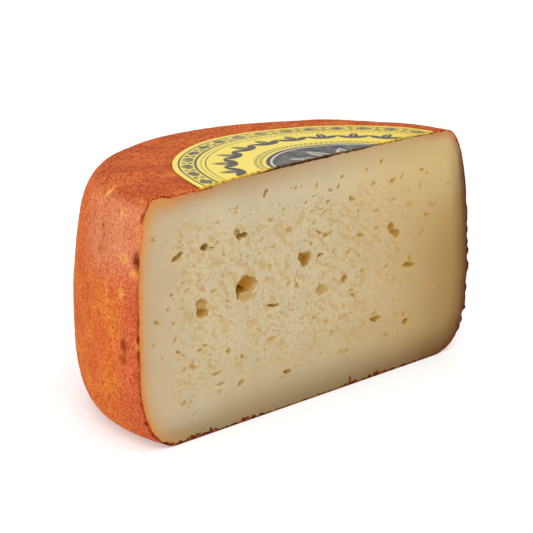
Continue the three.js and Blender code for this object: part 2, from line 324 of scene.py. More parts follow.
def oval_eye(x, z, wide, high, depth, tilt, draw, turn, cavity_shade):
    """A lumpy oval, no two alike, and a third wider along the cut."""
    across = np.cos(BEARINGS) / 1.3
    upward = np.sin(BEARINGS)
    lean = np.arctan2(upward, across) - math.radians(tilt)
    reach = 1 / np.hypot(np.cos(lean) / (wide / 2), np.sin(lean) / (high / 2)) / np.hypot(across, upward)
    for lobes in (2, 3, 5, 7):
        size = draw.uniform(0.05, 0.19) / lobes ** 0.4
        reach = reach * (1 + size * np.cos(lobes * BEARINGS + draw.uniform(0, 6.28)))
    return Eye((x, z), depth, reach, turn, cavity_shade)


def ragged_eye(middle, depth, outline):
    """A large eye whose rim runs through the given points, with soft corners and small nicks."""
    away = np.array(outline) - middle
    bearing = np.arctan2(away[:, 1], away[:, 0])
    order = np.argsort(bearing)
    reach = np.interp(BEARINGS, bearing[order], np.hypot(*away.T)[order], period=2 * math.pi)
    soft = np.convolve(np.tile(reach[:-1], 3), [0.15, 0.2, 0.3, 0.2, 0.15], "same")[96:192]
    reach = np.append(soft, soft[0])
    nicks = 0.04 * np.cos(9 * BEARINGS + middle[0]) + 0.03 * np.cos(14 * BEARINGS + middle[1])
    return Eye(middle, depth, reach * (1 + nicks), 1.55)


draw = np.random.default_rng(7)
large_eyes = [ragged_eye(*eye) for eye in RAGGED_EYES]
for x, z, wide, high, depth, tilt in EYES:
    growth = 1.1 + 0.15 * (x > 30)
    depth *= 0.7 if depth < 1.5 else 0.8
    turn = 0 if x > 46 or depth < 1.0 else 1.35
    # How strongly each eye's hollow is painted with shade and a warm glow.
    cavity_shade = 0.5 + 0.4 * (x > 0)
    large_eyes.append(oval_eye(x, z, wide * growth, high * growth, depth, tilt, draw, turn, cavity_shade))

# Several hundred fine pits in loose clusters, mostly where the curd is open.
PIT_CLUSTERS = 430
cluster_places = np.stack((draw.uniform(-74, 76, PIT_CLUSTERS), draw.uniform(8, 84, PIT_CLUSTERS)), 1)


def on_cut(flat):
    """Places on the cut, from their x and z."""
    return np.column_stack((flat[:, 0], np.zeros(len(flat)), flat[:, 1]))


def openness(flat):
    """1 where the curd is open and crumbly, 0 in the dense margin near the rind."""
    x, z = flat.T
    waver = 9 * ripple(on_cut(flat), 24, 1) + 4 * ripple(on_cut(flat), 9, 2)
    sides = smooth(x + waver, -76, -60) * smooth(-x + waver, -78, -25)
    return sides * smooth(z + waver * 0.7, 10, 24) * smooth(-z + waver * 0.8, -83, -66)


pits = []
for cluster, share in zip(cluster_places, openness(cluster_places)):
    number = 1 + draw.poisson(1.9 * share) if draw.random() < 0.08 + 0.8 * share else 0
    for place in cluster + draw.normal(0, 1.2, (number, 2)):
        size = 0.9 * draw.lognormal(0, 0.36) * (1 - 0.25 * smooth(place[0], 20, 60))
        long = size * draw.uniform(1.0, 1.5)
        deep = size * draw.uniform(0.22, 0.45) * (1 - 0.35 * smooth(place[0], -10, 50))
        pits.append(oval_eye(*place, long, size, deep, draw.normal(-30, 40), draw, 0, 0.1))


def crumble(flat):
    """How far crumbling has torn the curd sideways, so that no rim is a smooth curve."""
    place = on_cut(flat)
    tear = [0.5 * ripple(place, 2.1, seed) + 0.26 * ripple(place, 0.9, seed + 1) for seed in (51, 53)]
    return np.stack(tear, 1)


# How fine the cut surface has to be: points lie closest in the eyes and pits.
CELL = 0.25
LOW_CORNER = np.array([-90.0, -1.0])
CELL_COUNTS = np.array([720, 372])
PLAIN, OPEN, NEAR, TAKEN = 0, 1, 2, 3
cells = np.full(CELL_COUNTS, PLAIN)


def cell_of(flat):
    """The cell that each flat place lies in."""
    spot = np.round((flat - LOW_CORNER) / CELL).astype(int)
    return tuple(np.clip(spot, 0, CELL_COUNTS - 1).T)


def cell_places(low, counts):
    """The flat places of a block of cells, counted from the cell low."""
    spot_x, spot_z = np.meshgrid(np.arange(counts[0]), np.arange(counts[1]), indexing="ij")
    return (np.stack((spot_x.ravel(), spot_z.ravel()), 1) + low) * CELL + LOW_CORNER


def mark_cells(eye, share, kind):
    """Marks the cells within a share of the eye's reach."""
    margin = eye.widest * share + CELL
    low = np.maximum(((eye.middle - margin - LOW_CORNER) / CELL).astype(int), 0)
    high = ((eye.middle + margin - LOW_CORNER) / CELL).astype(int) + 2
    window = cells[low[0]:high[0], low[1]:high[1]]
    inside = (eye.share(cell_places(low, window.shape)) < share).reshape(window.shape)
    window[inside] = np.maximum(window[inside], kind)


cell_x, cell_z = cell_places((0, 0), CELL_COUNTS).T
away_from_sides = smooth(cell_x, -79, -70) * smooth(-cell_x, -80, -70)
away_from_ends = smooth(cell_z, 8, 14) * smooth(-cell_z, -85, -80)
cells[(away_from_sides * away_from_ends > 0.5).reshape(cells.shape)] = OPEN
for listed, share, kind in ((pits, 1.35, NEAR), (large_eyes, 1.25, NEAR), (large_eyes, 1.1, TAKEN)):
    for eye in listed:
        mark_cells(eye, share, kind)

# Rings of points follow each larger eye's rim, just outside it and down into the hole.
RING_SHARES = (1.06, 1.0, 0.93, 0.84, 0.73, 0.6, 0.45, 0.28, 0.1)
ring_points = []
for number, eye in enumerate(large_eyes):
    own = []
    step = 0.3 if eye.widest > 3 else 0.26
    for turn, share in enumerate(RING_SHARES):
        count = max(5, int(2 * math.pi * eye.reach.mean() * max(share, 0.25) / step))
        own.append(eye.ring(share, count, 0.5 * (turn % 2)))
    own = np.concatenate(own)
    for earlier in large_eyes[:number]:
        if np.hypot(*(earlier.middle - eye.middle)) < earlier.widest + eye.widest:
            own = own[earlier.share(own) > 1.09]
    ring_points.append(own - crumble(own))


def in_outline(loop, flat):
    """True for the flat points that lie within a closed loop."""
    inside = np.zeros(len(flat), bool)
    for (x0, y0), (x1, y1) in zip(loop, np.roll(loop, -1, 0)):
        if y1 != y0:
            crosses = (y0 > flat[:, 1]) != (y1 > flat[:, 1])
            inside ^= crosses & (flat[:, 0] < x0 + (flat[:, 1] - y0) * (x1 - x0) / (y1 - y0))
    return inside


def triangles(loop, inner):
    """Delaunay triangles of a closed outline and the flat points within it."""
    points = [Vector(place) for place in loop.tolist() + inner.tolist()]
    edges = [(i, (i + 1) % len(loop)) for i in range(len(loop))]
    faces = np.array(geometry.delaunay_2d_cdt(points, edges, [], 1, 1e-9, False)[2])
    across = (faces < len(loop)).all(1)
    middles = loop[faces[across]].mean(1)
    keep = np.ones(len(faces), bool)
    keep[across] = in_outline(loop, middles)
    return faces[keep]


def lattice(spacing, low, high, draw):
    """Slightly jittered points in rows, as even as grains that were pressed together."""
    xs = np.arange(low[0], high[0], spacing)
    ys = np.arange(low[1], high[1], spacing * 0.866)
    across, along = np.meshgrid(xs, ys)
    across = across + (np.arange(len(ys)) % 2)[:, None] * spacing / 2
    flat = np.stack((across.ravel(), along.ravel()), 1)
    return flat + draw.uniform(-0.13, 0.13, flat.shape) * spacing


def distance_to(loop, points):
    """How far each flat point lies from the nearest point of a loop."""
    tree = kdtree.KDTree(len(loop))
    for i, place in enumerate(loop):
        tree.insert((place[0], place[1], 0), i)
    tree.balance()
    return np.array([tree.find((place[0], place[1], 0))[2] for place in points])


FACE_SPACING = {PLAIN: 1.0, OPEN: 0.52, NEAR: 0.29}
RIM_RINGS = ((0.3, 1), (0.75, 1), (1.3, 2), (2.0, 2), (2.9, 3))
flat_loop = paste_loop[:, [0, 2]]
flat_out = cut_out[:, [0, 2]]
face_points = [flat_loop[::every] - flat_out[::every] * inset for inset, every in RIM_RINGS]
face_points += ring_points
for kind, spacing in FACE_SPACING.items():
    grains = lattice(spacing, (-88, 0), (88, 90), draw)
    grains = grains[cells[cell_of(grains)] == kind]
    face_points.append(grains[distance_to(flat_loop, grains) > 3.2])

inner_points = np.concatenate(face_points)
inner_points = inner_points[in_outline(flat_loop, inner_points)]
face_flat = np.concatenate((flat_loop, inner_points))
face_faces = triangles(flat_loop, inner_points)

# The surface itself: slow waves of the cut, crumbly curd, pits and eyes.
upright = on_cut(face_flat)
DRAG = math.radians(-35)
along = face_flat[:, 0] * math.cos(DRAG) + face_flat[:, 1] * math.sin(DRAG)
across = -face_flat[:, 0] * math.sin(DRAG) + face_flat[:, 1] * math.cos(DRAG)
dragged = np.stack((along / 1.8, across, 0 * along), 1)
open_share = openness(face_flat)
rim_away = distance_to(flat_loop, face_flat)
crumbs = smooth(ripple(dragged, 1.9, 5), 0.0, 0.55) * 0.34
flakes = smooth(ripple(dragged, 4.2, 6), -0.1, 0.5) * 0.16
fine = ripple(upright, 1.0, 8) * 0.07
depth = open_share * (crumbs + flakes + fine)
depth = depth + 0.12 * ripple(upright, 30, 9) * smooth(rim_away, 0, 6)
# sunk: how deep each point lies in crumbs, pits and eyes. The curd's material paints shade and a warm glow
# of light through the curd from it.
sunk = open_share * (crumbs * 1.3 + flakes * 0.3)
moved = face_flat.copy()
shifted = face_flat + crumble(face_flat)
for eye in pits + large_eyes:
    close = np.flatnonzero(np.abs(shifted - eye.middle).max(1) < eye.widest)
    share = eye.share(shifted[close])
    close = close[share < 1]
    share = share[share < 1]
    hollow, stretch = eye.hollow(share)
    down = eye.depth * (1 + 0.2 * ripple(upright[close], 1.3, 11)) * hollow
    wins = down > depth[close]
    close = close[wins]
    moved[close] = eye.middle + (face_flat[close] - eye.middle) * stretch[wins, None]
    depth[close] = down[wins]
    sunk[close] = np.maximum(sunk[close], down[wins] + eye.cavity_shade * hollow[wins])
depth[:len(flat_loop)] = 0.0


class Surface:
    """Patches of one closed piece. Points that two patches share become one when it is made."""

    def __init__(self):
        self.points = []
        self.faces = []
        self.slots = []
        self.marks = {}
        self.count = 0

    def add(self, points, faces, flip=False, slot=0, **marks):
        """A patch, with its material slot and with marks that its material reads."""
        self.points.append(points)
        self.faces.append((faces[:, ::-1] if flip else faces) + self.count)
        self.slots.append(np.full(len(faces), slot, np.int32))
        for name in set(self.marks) | set(marks):
            earlier = self.marks.setdefault(name, [np.zeros(self.count)] if self.count else [])
            earlier.append(np.broadcast_to(marks.get(name, 0.0), len(points)).astype(float))
        self.count += len(points)

    def make(self, name, crease=50):
        """The patches as one object, with edges sharper than crease degrees left sharp."""
        points = np.concatenate(self.points)
        faces = np.concatenate(self.faces)
        keys = np.round(points / 1e-4).astype(np.int64)
        _, first, same = np.unique(keys, axis=0, return_index=True, return_inverse=True)
        faces = same.ravel()[faces]
        whole = (faces[:, 0] != faces[:, 1]) & (faces[:, 1] != faces[:, 2]) & (faces[:, 2] != faces[:, 0])
        mesh = bpy.data.meshes.new(name)
        mesh.from_pydata((points[first] * MM + WHEEL_AXIS).tolist(), [], faces[whole].tolist())
        mesh.polygons.foreach_set("material_index", np.concatenate(self.slots)[whole])
        for mark, values in self.marks.items():
            layer = mesh.attributes.new(mark, "FLOAT", "POINT")
            layer.data.foreach_set("value", np.concatenate(values)[first].astype(np.float32))
        mesh.shade_smooth()
        mesh.set_sharp_from_angle(angle=math.radians(crease))
        piece = bpy.data.objects.new(name, mesh)
        bpy.context.scene.collection.objects.link(piece)
        return piece


paste = Surface()
face_place = np.stack((moved[:, 0], np.maximum(depth, -0.3), moved[:, 1]), 1)
face_place[:len(flat_loop)] = paste_loop
paste.add(face_place, face_faces, sunk=sunk, rim=rim_away, open=open_share)


def grid_faces(columns, rows):
    """Two triangles for each cell of a grid that is counted column by column."""
    first = (np.arange(columns - 1)[:, None] * rows + np.arange(rows - 1)[None, :]).ravel()
    one = np.stack((first, first + rows, first + rows + 1), 1)
    two = np.stack((first, first + rows + 1, first + 1), 1)
    return np.concatenate((one, two))


def add_skin(surface, angles, inset, loop, flip, relief=None, spacing=6.0, top_spacing=None, **marks):
    """Wall, top and base of the half wheel. Its first and last columns and its straight edges at
    the cut are the points of the given loop. Each mark is a rule that takes points."""
    columns, outward = wall(angles, inset)
    rows = SECTION_ROWS
    columns[0] = loop[:rows]
    columns[-1] = loop[rows + CHORD_POINTS:2 * rows + CHORD_POINTS][::-1]
    if relief is not None:
        out = relief(columns[1:-1].reshape(-1, 3))
        columns[1:-1] += outward[1:-1] * out.reshape(-1, rows, 1)
        columns[:, :, 2] = np.maximum(columns[:, :, 2], 0.0)
    over = loop[rows:rows + CHORD_POINTS]
    under = loop[2 * rows + CHORD_POINTS:]
    patches = [(columns.reshape(-1, 3), grid_faces(len(angles), rows), flip)]
    for row, straight, upper in ((rows - 1, over[::-1], True), (0, under, False)):
        outline = np.concatenate((columns[:, row], straight))
        gap = top_spacing if upper and top_spacing else spacing
        inner = lattice(gap, (-88, 0.5 * gap), (88, 88), draw)
        inner = inner[in_outline(outline[:, :2], inner)]
        inner = inner[distance_to(outline[:, :2], inner) > 0.45 * gap]
        level = WHEEL_HEIGHT - inset if upper else inset
        raised = np.column_stack((inner, np.full(len(inner), level)))
        if relief is not None:
            raised[:, 2] += relief(raised) * (1 if upper else -1)
        flat = triangles(outline[:, :2], inner)
        patches.append((np.concatenate((outline, raised)), flat, flip == upper))
    for points, faces, turned in patches:
        surface.add(points, faces, turned, **{name: rule(points) for name, rule in marks.items()})


inner_angles = np.linspace(0, math.pi, INNER_COLUMNS)
add_skin(paste, inner_angles, PASTE_INSET, paste_loop, False)
cut_paste = paste.make("cut_paste")


class Wire:
    """One output socket of a material's nodes, so that shader maths reads as plain sums."""

    def __init__(self, tree, socket=None):
        self.tree = tree
        self.socket = socket

    def node(self, kind, settings=None, inputs=None, out=0):
        """Any node: its type, its settings, and the values or wires of its sockets."""
        made = self.tree.nodes.new("ShaderNode" + kind)
        for name, value in (settings or {}).items():
            setattr(made, name, value)
        for name, value in (inputs or {}).items():
            if isinstance(value, Wire):
                self.tree.links.new(value.socket, made.inputs[name])
            else:
                made.inputs[name].default_value = value
        return Wire(self.tree, made.outputs[out])

    def maths(self, operation, *values):
        return self.node("Math", {"operation": operation}, dict(enumerate(values)))

    def __add__(self, other):
        return self.maths("ADD", self, other)

    def __sub__(self, other):
        return self.maths("SUBTRACT", self, other)

    def __mul__(self, other):
        return self.maths("MULTIPLY", self, other)

    def __truediv__(self, other):
        return self.maths("DIVIDE", self, other)

    def __rsub__(self, other):
        return self.maths("SUBTRACT", other, self)

    def __rtruediv__(self, other):
        return self.maths("DIVIDE", other, self)

    __radd__ = __add__
    __rmul__ = __mul__

    def __abs__(self):
        return self.maths("ABSOLUTE", self)

    def larger(self, other):
        return self.maths("MAXIMUM", self, other)

    def rise(self, low, high):
        """0 below low and 1 above high, or the other way round where low is the larger."""
        settings = {"interpolation_type": "SMOOTHSTEP"}
        if low < high:
            return self.node("MapRange", settings, {"Value": self, "From Min": low, "From Max": high})
        return 1 - self.node("MapRange", settings, {"Value": self, "From Min": high, "From Max": low})

    def blend(self, share, under, upper):
        """The upper colour laid over the one under it, as thick as share says."""
        return self.node("Mix", {"data_type": "RGBA"}, {0: share, 6: under, 7: upper}, 2)

    def cover(self, *layers):
        """This colour with layers laid over it in turn, each a share and a colour."""
        colour = self
        for share, upper in layers:
            colour = self.blend(share, colour, upper)
        return colour

    def noise(self, size, detail=2.0, roughness=0.5, shift=0.0):
        """Noise around 0.5 whose grains are about size wide, in millimetres, from this place."""
        scaled = self.node("VectorMath", {"operation": "SCALE"}, {0: self, "Scale": 1 / size})
        moved = self.node("VectorMath", {"operation": "ADD"}, {0: scaled, 1: (shift, shift, shift)})
        inputs = {"Vector": moved, "Scale": 1.0, "Detail": detail, "Roughness": roughness}
        return self.node("TexNoise", None, inputs)

    def mark(self, name):
        return self.node("Attribute", {"attribute_name": name}, None, "Fac")


STUDIO_LIGHT = 1.3


def linear(red, green, blue):
    """The paint, as shares of light, that shows as this screen colour in the studio's light."""
    shares = (red / 255, green / 255, blue / 255)
    return tuple(((c + 0.055) / 1.055) ** 2.4 / STUDIO_LIGHT for c in shares) + (1.0,)


def new_material(name):
    """An empty material with its shader, and the wires that materials start from."""
    material = bpy.data.materials.new(name)
    material.use_nodes = True
    tree = material.node_tree
    shader = tree.nodes["Principled BSDF"]
    start = Wire(tree)
    inside = start.node("TexCoord", out="Object")
    from_axis = start.node("VectorMath", {"operation": "SUBTRACT"}, {0: inside, 1: WHEEL_AXIS.tolist()})
    place = start.node("VectorMath", {"operation": "SCALE"}, {0: from_axis, "Scale": 1 / MM})
    split = start.node("SeparateXYZ", None, {0: place})
    x, y, z = (Wire(tree, socket) for socket in split.socket.node.outputs)
    return material, shader, start, place, x, y, z


def plug(shader, **wires):
    """Wires or plain values to the shader's sockets, with _ for a space in a socket's name."""
    for name, value in wires.items():
        socket = shader.inputs[name.replace("_", " ")]
        if isinstance(value, Wire):
            shader.id_data.links.new(value.socket, socket)
        else:
            socket.default_value = value


material, shader, start, place, x, y, z = new_material("pressed_curd")
sunk_wire = start.mark("sunk")
rim_wire = start.mark("rim")
open_wire = start.mark("open")
IVORY = linear(202, 187, 154)
CREAM = linear(208, 191, 157)
UPPER_RIGHT = linear(218, 190, 128)
LEFT_SHADE = linear(186, 152, 106)
# The next two: drier, yellower curd, and painted shade where the light falls off towards the right end.
AGED_AND_SHADED = linear(194, 154, 80)
AGED_DARK_AND_SHADED = linear(132, 94, 36)
# The next two: brown by the rim at the right end, curd soaked from the rind and painted shade.
RIGHT_SOAK_AND_SHADE = linear(120, 80, 34)
RIGHT_BROWN_SOAK_AND_SHADE = linear(98, 54, 20)
# The next three: painted shade by the floor, the curd darker towards the foot.
FOOT_SHADE_LEFT = linear(142, 116, 70)
FOOT_SHADE_RIGHT = linear(106, 74, 26)
ABOVE_FOOT_SHADE = linear(180, 150, 98)
UNDER_TOP = linear(172, 134, 82)
# GOLD serves the curd's own mottling and the painted shade and glow in its hollows; the next two only the
# painted shade and glow.
GOLD = linear(198, 161, 84)
HOLLOW_SHADE_AMBER = linear(185, 138, 52)
DEEP_HOLLOW_SHADE = linear(184, 122, 10)
SOAKED = linear(216, 140, 60)
SOAKED_DEEP = linear(206, 148, 86)
SOAKED_TOP = linear(202, 124, 70)
SOAKED_HIGH = linear(220, 148, 78)
FLECK = linear(222, 208, 178)
cloud = place.noise(14, 3)
foot_shade = start.blend(x.rise(-50, 70), FOOT_SHADE_LEFT, FOOT_SHADE_RIGHT)
under_top = x.rise(78, 50) * (x.rise(20, -40) * 0.4 + 0.5)
right_end = x.rise(50, 78)
mottle = place.noise(1.5, 3, 0.65, shift=2)
web = place.noise(4.5, 2, 0.5, shift=14).rise(0.3, 0.6)
flecks = place.noise(2.4, 2, 0.6, shift=5).rise(0.66, 0.76)
mottled = sunk_wire * (mottle * 1.2 + 0.4)
soaked = rim_wire + (place.noise(3, 2, 0.5, shift=9) - 0.5) * 1.4
left_end = x.rise(-60, -78)
colour = start.blend(cloud.rise(0.35, 0.65), IVORY, CREAM).cover(
    (x.rise(-55, -85) * 0.5, LEFT_SHADE),
    (x.rise(-10, 60) * z.rise(42, 78) * 0.75, UPPER_RIGHT),
    # Towards the right end and its lower part: drier curd, and painted shade where the light falls off.
    (x.rise(-10, 95) * (0.9 - z.rise(50, 76) * 0.55), AGED_AND_SHADED),
    (x.rise(35, 95) * z.rise(80, 35) * 0.6, AGED_DARK_AND_SHADED),
    # Painted shade: the curd darker towards the floor on the left.
    (z.rise(32, 12) * x.rise(-75, -30) * 0.35, ABOVE_FOOT_SHADE),
    (z.rise(34, 12) * x.rise(50, 82) * 0.35, AGED_DARK_AND_SHADED),
    # Painted shade at the foot, where the floor shuts out light.
    (z.rise(17, -2) * (0.85 - x.rise(-40, -78) * z.rise(4, 9) * 0.5), foot_shade),
    (z.rise(78, 92) * under_top, UNDER_TOP),
    # By the right rim: curd soaked from the rind, and painted shade.
    (rim_wire.rise(10, 0) * right_end * z.rise(94, 60) * 0.85, RIGHT_SOAK_AND_SHADE),
    (rim_wire.rise(3.4, 0) * right_end * z.rise(98, 72) * 0.88, RIGHT_BROWN_SOAK_AND_SHADE),
    (mottle.rise(0.42, 0.7) * open_wire * (web * 0.5 + 0.25), GOLD),
    (flecks * x.rise(50, 0) * 0.3, FLECK),
    # Painted shade and a painted warm glow of light through the curd, deeper down in crumbs, pits and eyes.
    (sunk_wire.rise(0.0, 0.7) * 0.7, GOLD),
    (mottled.rise(0.5, 2.0) * 0.85, HOLLOW_SHADE_AMBER),
    (sunk_wire.rise(1.2, 3.8) * 0.9, DEEP_HOLLOW_SHADE),
    (soaked.rise(7.0, 0) * left_end * 0.5, SOAKED_DEEP),
    (soaked.rise(2.6, 0) * left_end * (z.rise(4, 14) * 0.5 + 0.35), SOAKED),
    (soaked.rise(4.5, 0) * z.rise(80, 87) * x.rise(-38, -60) * 0.5, SOAKED_TOP),
    (soaked.rise(8, 0) * left_end * z.rise(62, 84) * 0.5, SOAKED_HIGH),
    (soaked.rise(4.5, 0) * z.rise(80, 87) * x.rise(56, 66) * 0.45, SOAKED_TOP),
    (soaked.rise(2.2, 0) * z.rise(82, 88) * (x.rise(56, 64) * 0.45 + 0.15), SOAKED_TOP),
)
curd_grain = place.noise(0.7, 3, 0.65, shift=4)
height = curd_grain * (open_wire * 0.85 + 0.15) + mottle.rise(0.75, 0.45) * open_wire * 1.2
bump = start.node("Bump", None, {"Height": height, "Strength": 0.36, "Distance": 0.00022})
plug(shader, Base_Color=colour, Roughness=0.5, Normal=bump)
plug(shader, Specular_IOR_Level=0.12, Subsurface_Weight=0.55, Subsurface_Scale=0.0022)
shader.inputs["Subsurface Radius"].default_value = (1.0, 0.7, 0.35)
cut_paste.data.materials.append(material)
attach(cut_paste, "root")
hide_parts("cheese_half")

# The rind: the cheese's own skin, rubbed with paprika and oil until it is orange-red.
# A shell that fits round the paste. Its outside has the grain of the cloth and the rub, and its cut
# edge shows as a thin line round the paste, with browned crumbs along the foot.

RIND_DEPTH = 1.7
FINE_ANGLES = np.linspace(2.12, math.pi, 172)
PLAIN_ANGLES = np.linspace(0, 2.12, 190, endpoint=False)
RIM_STEPS = (0.0, 0.35, 0.7, 1.0)
# Swells of the wall: bearing and half width in radians, height and half height, and how far out.
SWELLS = ((2.34, 0.25, 41, 17, 0.75), (2.6, 0.3, 84, 9, 0.6), (0, 0.25, 9.5, 4.2, 1.3))
# Notches in the cut's right edge: height, half height and depth.
NOTCHES = ((17.2, 0.8, 0.7), (13.3, 1.0, 0.9), (9.8, 0.8, 0.7), (6.6, 0.7, 0.5))
NOTCH_BEARING = 0.03
# Low swells of the top towards the back: place, how far up, and reach.
TOP_SWELLS = (((54, 43), 0.5, 13), ((79, 17), 0.4, 12), ((38, 64), -0.3, 12))


def under_label(points):
    """1 where the label covers the top, 0 elsewhere."""
    away = np.hypot(points[:, 0] - LABEL_CENTRE[0], points[:, 1] - LABEL_CENTRE[1])
    return smooth(-away, -LABEL_RADIUS - 1, -LABEL_RADIUS + 1) * (points[:, 2] > WHEEL_HEIGHT - 3)


def hump(flat):
    """How far the top's swells stand up. They lift the label too."""
    total = np.zeros(len(flat))
    for middle, height, reach in TOP_SWELLS:
        total += height * np.exp(-(np.hypot(*(flat - middle).T) / reach) ** 2)
    return total


def rub(points):
    """How far the rubbed skin stands out from its even form."""
    angle = np.arctan2(points[:, 1], points[:, 0])
    z = points[:, 2]
    lumps = 0.18 * ripple(points, 9, 21) + 0.11 * ripple(points, 3.6, 22)
    grain = 0.06 * ripple(points, 1.7, 23)
    out = (lumps + grain) * smooth(z, 0, 4) - 0.08
    out += 0.35 * smooth(points[:, 1], 38, 60) * smooth(z, 74, 84)
    for bearing, wide, middle, high, outward in SWELLS:
        out += outward * np.exp(-((angle - bearing) / wide) ** 2 - ((z - middle) / high) ** 2)
    for middle, high, depth in NOTCHES:
        out -= depth * np.exp(-((z - middle) / high) ** 2 - (angle / NOTCH_BEARING) ** 2)
    torn = np.exp(-(angle / 0.2) ** 2) * smooth(z, 1, 8) * smooth(-z, -68, -46)
    out += torn * (1.1 * smooth(ripple(points, 3.6, 27), -0.15, 0.35) - 0.3)
    covered = under_label(points)
    out = out * (1 - covered) - (0.12 + 0.5 * np.exp(-(points[:, 1] / 2) ** 2)) * covered
    return out + hump(points[:, :2]) * smooth(z, 70, 84)


def skin(points):
    """The rubbed skin with the dragged edge at the cut."""
    return rub(points) - sag(points)


# Burnt stains and bald golden spots by the cut's left end: distance from the cut and height of the
# middle, then half the width, half the height and how strongly it shows.
DARK_SPOTS = [
    (0.3, 83.6, 1, 1.5, 0.9), (1.1, 69, 1.9, 3, 1), (0.3, 42, 0.9, 1.8, 0.8), (8.6, 38, 1.5, 2.4, 0.65),
    (9.3, 33, 1.9, 1.7, 0.55), (0.4, 35.8, 0.8, 1.9, 0.7), (0.3, 28.8, 0.5, 1.6, 0.45),
    (0.3, 25.8, 0.7, 0.8, 0.5), (0.3, 22.6, 0.7, 0.8, 0.5), (0.8, 18.7, 0.9, 0.9, 0.6),
    (1.4, 10.9, 1, 1.1, 0.75), (0.9, 8.4, 0.9, 0.9, 0.6), (0.8, 5.8, 1.2, 1.6, 0.8),
    (23, 83.4, 0.9, 0.9, 0.4), (30.4, 79.3, 0.9, 1.4, 0.5), (22.4, 77, 0.9, 0.9, 0.6),
    (21.3, 73.3, 0.8, 1.9, 0.35), (23.4, 68.6, 1, 1.9, 0.4), (29.7, 64.8, 0.8, 0.9, 0.35),
    (33.2, 52.8, 0.9, 0.9, 0.4), (24.4, 45.6, 1, 1.4, 0.45), (33.8, 31.2, 0.9, 0.9, 0.4),
    (31.2, 12.8, 0.9, 1, 0.4), (23.1, 20.6, 0.9, 0.9, 0.4), (0.2, 60.5, 0.5, 1.4, 0.5),
    (0.2, 54, 0.5, 1.6, 0.4), (0.2, 48, 0.5, 1.5, 0.5),
]
GOLDEN_SPOTS = [
    (11.2, 82.8, 1.5, 1.7, 0.45), (10.2, 84.8, 1.4, 0.9, 0.4), (2.9, 88, 2.2, 0.8, 0.4),
    (7.8, 68.4, 1.9, 1.8, 0.6), (2.6, 64.6, 1.9, 1.7, 0.6), (18.2, 54.4, 1.3, 4.6, 0.5),
    (18.4, 47, 1, 1.6, 0.4), (9.2, 56.6, 1.5, 2.8, 0.55), (0.8, 39.6, 1, 1.4, 0.9), (14, 62, 0.9, 3, 0.35),
    (9.5, 35.4, 1, 0.8, 0.6), (25.1, 85.6, 0.7, 0.9, 0.9), (24.6, 86.6, 0.8, 1, 1),
    (24, 87.5, 0.8, 0.9, 1), (23.2, 88.3, 0.9, 0.7, 0.8),
]


def spots(points, listed):
    """How strongly the listed spots show at each point, with soft edges."""
    share = np.zeros(len(points))
    for y, z, wide, high, strength in listed:
        away = np.hypot((points[:, 1] - y) / wide, (points[:, 2] - z) / high)
        share = np.maximum(share, min(1, 1.25 * strength) * smooth(-away, -2.1, -0.2))
    return share * (points[:, 0] < -60)


rind = Surface()
rind_loop = cut_loop + cut_out * np.maximum(rub(cut_loop), 0.12 - rim)[:, None]
rind_loop[:, 1] = 0.0
rind_loop[:, 2] = np.maximum(rind_loop[:, 2], 0.0)
rind_angles = np.concatenate((PLAIN_ANGLES, FINE_ANGLES))
add_skin(rind, rind_angles, 0.0, rind_loop, False, skin, 2.2, 0.95,
         burnt=lambda points: spots(points, DARK_SPOTS),
         golden=lambda points: spots(points, GOLDEN_SPOTS))
add_skin(rind, inner_angles, RIND_DEPTH, paste_loop, True)

# The cut edge bulges a little where the knife pushed crumbs of the rind out of the foot.
loop_count = len(cut_loop)
rim_rows = []
bulge = smooth(rim, 0.7, 2.0) * 0.35 * (1 + 0.8 * ripple(cut_loop, 1.3, 25)) + 0.05
for step in RIM_STEPS:
    row = rind_loop * (1 - step) + paste_loop * step
    row[:, 1] = -bulge * math.sin(math.pi * step) * (1 + 0.5 * ripple(row, 0.8, 26))
    row[:, 1] *= 0 < step < 1
    rim_rows.append(row)
rim_points = np.stack(rim_rows, 1)
rim_points = np.concatenate((rim_points, rim_points[:1])).reshape(-1, 3)
rind.add(rim_points, grid_faces(loop_count + 1, len(RIM_STEPS)), slot=1)
paprika_rind = rind.make("paprika_rind")

material, shader, start, place, x, y, z = new_material("paprika_rub")
GOLDEN_LIGHT = linear(248, 153, 70)
GOLDEN_DARK = linear(209, 90, 38)
RED_LIGHT = linear(245, 134, 68)
RED_DARK = linear(202, 81, 42)
CUT_LIGHT = linear(235, 126, 76)
CUT_DARK = linear(189, 71, 43)
PINK_LIGHT = linear(237, 154, 110)
PINK_DARK = linear(208, 108, 70)
# The top's paints are darker and redder: partly the rub's own rust tone, partly painted shade of the top.
TOP_LIGHT = linear(227, 125, 65)
TOP_DARK = linear(165, 66, 38)
SPECK = linear(138, 44, 20)
BALD = linear(250, 176, 84)
BURNT = linear(116, 30, 14)
# Painted shade in the gap under the label's edge.
SHADE_UNDER_PAPER = linear(112, 74, 42)
# Painted shade on the rind's right end, away from the lamp.
RIGHT_WALL_SHADE = linear(104, 54, 24)
STROKE = (0.718, 0.696)
stroke = (x * STROKE[0] + y * STROKE[1]) * 0.45
wiped = start.node("CombineXYZ", None, {"X": x - stroke * STROKE[0], "Y": y - stroke * STROKE[1], "Z": z})
